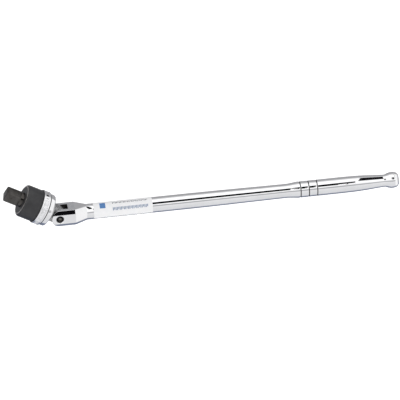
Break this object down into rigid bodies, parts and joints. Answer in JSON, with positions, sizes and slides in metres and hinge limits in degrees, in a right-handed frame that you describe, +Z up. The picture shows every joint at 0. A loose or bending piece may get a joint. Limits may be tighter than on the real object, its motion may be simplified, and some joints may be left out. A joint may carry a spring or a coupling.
{
  "type": "breaker bar",
  "caption": "Long chrome socket bar with a forked hinge, a reversible round ratchet head on it and a half inch square drive.",
  "frame": {"origin": "under the middle of the box round the whole tool, on the surface it lies on", "axes": "+X along the bar towards the grip, +Y along the hinge pin, +Z up; the head is stored bent 30 degrees up from the bar's line"},
  "size_m": [0.449, 0.039, 0.0488],
  "materials": {
    "chrome": "polished bright chrome plate",
    "housing_black": "satin black, slightly blue",
    "drive_steel": "dark phosphated steel, satin",
    "black_oxide": "black oxide, semi gloss",
    "tool_steel": "hardened steel, ground",
    "spring_steel": "drawn spring wire",
    "ball_steel": "polished bearing steel",
    "bronze": "sintered bronze",
    "seal_rubber": "matte black",
    "label_film": "clear film with plain bands"
  },
  "bodies": {
    "bar": {"handle_bar": "chrome", "hinge_screw": "black_oxide", "tongue_plunger": "tool_steel", "plunger_spring": "spring_steel", "shank_label": "label_film"},
    "head": {"hinge_head": "chrome", "ring_seal": "seal_rubber", "ratchet_housing": "housing_black", "spindle_bush": "bronze", "pawl_plate": "tool_steel", "drag_washer": "spring_steel", "forward_pawl_pin": "tool_steel", "reverse_pawl_pin": "tool_steel", "forward_pawl_spring": "spring_steel", "reverse_pawl_spring": "spring_steel", "detent_spring": "spring_steel"},
    "selector": {"selector_ring": "chrome", "selector_cam": "tool_steel", "shift_pin_1": "black_oxide", "shift_pin_2": "black_oxide"},
    "forward_pawl_body": {"forward_pawl": "tool_steel"},
    "reverse_pawl_body": {"reverse_pawl": "tool_steel"},
    "drive": {"drive_spindle": "drive_steel", "socket_ball_spring": "spring_steel"},
    "socket_ball_body": {"socket_ball": "ball_steel"},
    "detent_ball_body": {"detent_ball": "ball_steel"}
  },
  "joints": [
    {"name": "head_hinge", "type": "hinge", "parent": "bar", "child": "head", "pos_m": [-0.16348, 0, 0.0093], "axis": [0, 1, 0], "range_deg": [-120, 60]},
    {"name": "selector_twist", "type": "hinge", "parent": "head", "child": "selector", "pos_m": [-0.1834, 0, 0.0208], "axis": [-0.866, 0, 0.5], "range_deg": [0, 24]},
    {"name": "forward_pawl_rock", "type": "hinge", "parent": "head", "child": "forward_pawl_body", "pos_m": [-0.20039, -0.00689, 0.01788], "axis": [-0.866, 0, 0.5], "range_deg": [0, 5.01], "deforming": ["forward_pawl_spring"]},
    {"name": "reverse_pawl_rock", "type": "hinge", "parent": "head", "child": "reverse_pawl_body", "pos_m": [-0.18936, -0.00689, 0.03697], "axis": [-0.866, 0, 0.5], "range_deg": [0, 5.01], "deforming": ["reverse_pawl_spring"]},
    {"name": "drive_spin", "type": "hinge", "parent": "head", "child": "drive", "pos_m": [-0.19553, 0, 0.0278], "axis": [-0.866, 0, 0.5], "continuous": true},
    {"name": "socket_ball_press", "type": "slide", "parent": "drive", "child": "socket_ball_body", "axis": [-0.1504, -0.9537, -0.2604], "range_m": [0, 0.0012], "stiffness_N_per_m": 1500, "springref_m": -0.0008, "deforming": ["socket_ball_spring"]},
    {"name": "detent_ball_press", "type": "slide", "parent": "head", "child": "detent_ball_body", "axis": [-0.0997, -0.9799, -0.1727], "range_m": [0, 0.0006], "stiffness_N_per_m": 600, "springref_m": -0.0006, "deforming": ["detent_spring"]}
  ],
  "couplings": [
    {"joint": "forward_pawl_rock", "follows": "selector_twist", "ratio": 0.20833},
    {"joint": "reverse_pawl_rock", "follows": "selector_twist", "ratio": 0.20833}
  ]
}
